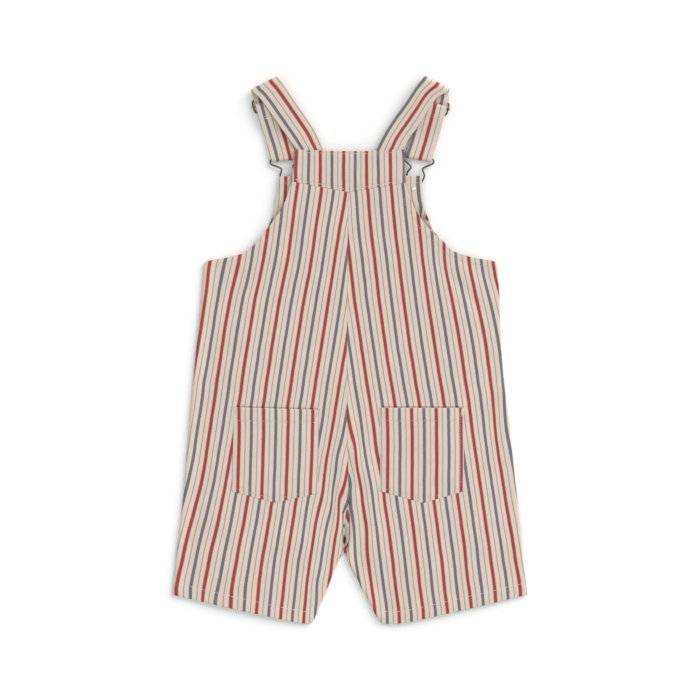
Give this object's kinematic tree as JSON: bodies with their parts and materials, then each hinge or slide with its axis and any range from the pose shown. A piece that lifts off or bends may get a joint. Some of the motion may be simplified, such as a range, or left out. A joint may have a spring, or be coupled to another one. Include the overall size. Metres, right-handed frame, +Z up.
{
  "type": "kids bib overalls",
  "caption": "Small child's short-leg bib overalls in striped canvas, laid flat with the back up: yoke, patch pockets, hooked straps.",
  "frame": {"origin": "centre of the outline's box, on the surface that the garment lies on", "axes": "+Y towards the shoulders, +X towards the wearer's right, +Z up out of the back panels"},
  "size_m": [0.3552, 0.5478, 0.0102],
  "materials": {
    "striped_canvas": "matt plain weave, ecru with narrow red, blue-grey and fine grey stripes",
    "aged_brass": "dark antique brass, satin",
    "tack_metal": "bright nickel"
  },
  "bodies": {
    "root": {"back_panel_left": "striped_canvas", "back_panel_right": "striped_canvas", "back_yoke": "striped_canvas", "back_pocket_left": "striped_canvas", "back_pocket_right": "striped_canvas", "front_panel_left": "striped_canvas", "front_panel_right": "striped_canvas", "strap_left": "striped_canvas", "strap_right": "striped_canvas", "hook_left": "aged_brass", "hook_right": "aged_brass", "slider_left": "aged_brass", "slider_right": "aged_brass", "bib_button_left": "aged_brass", "bib_button_right": "aged_brass", "button_tack_left": "tack_metal", "button_tack_right": "tack_metal"}
  },
  "joints": []
}
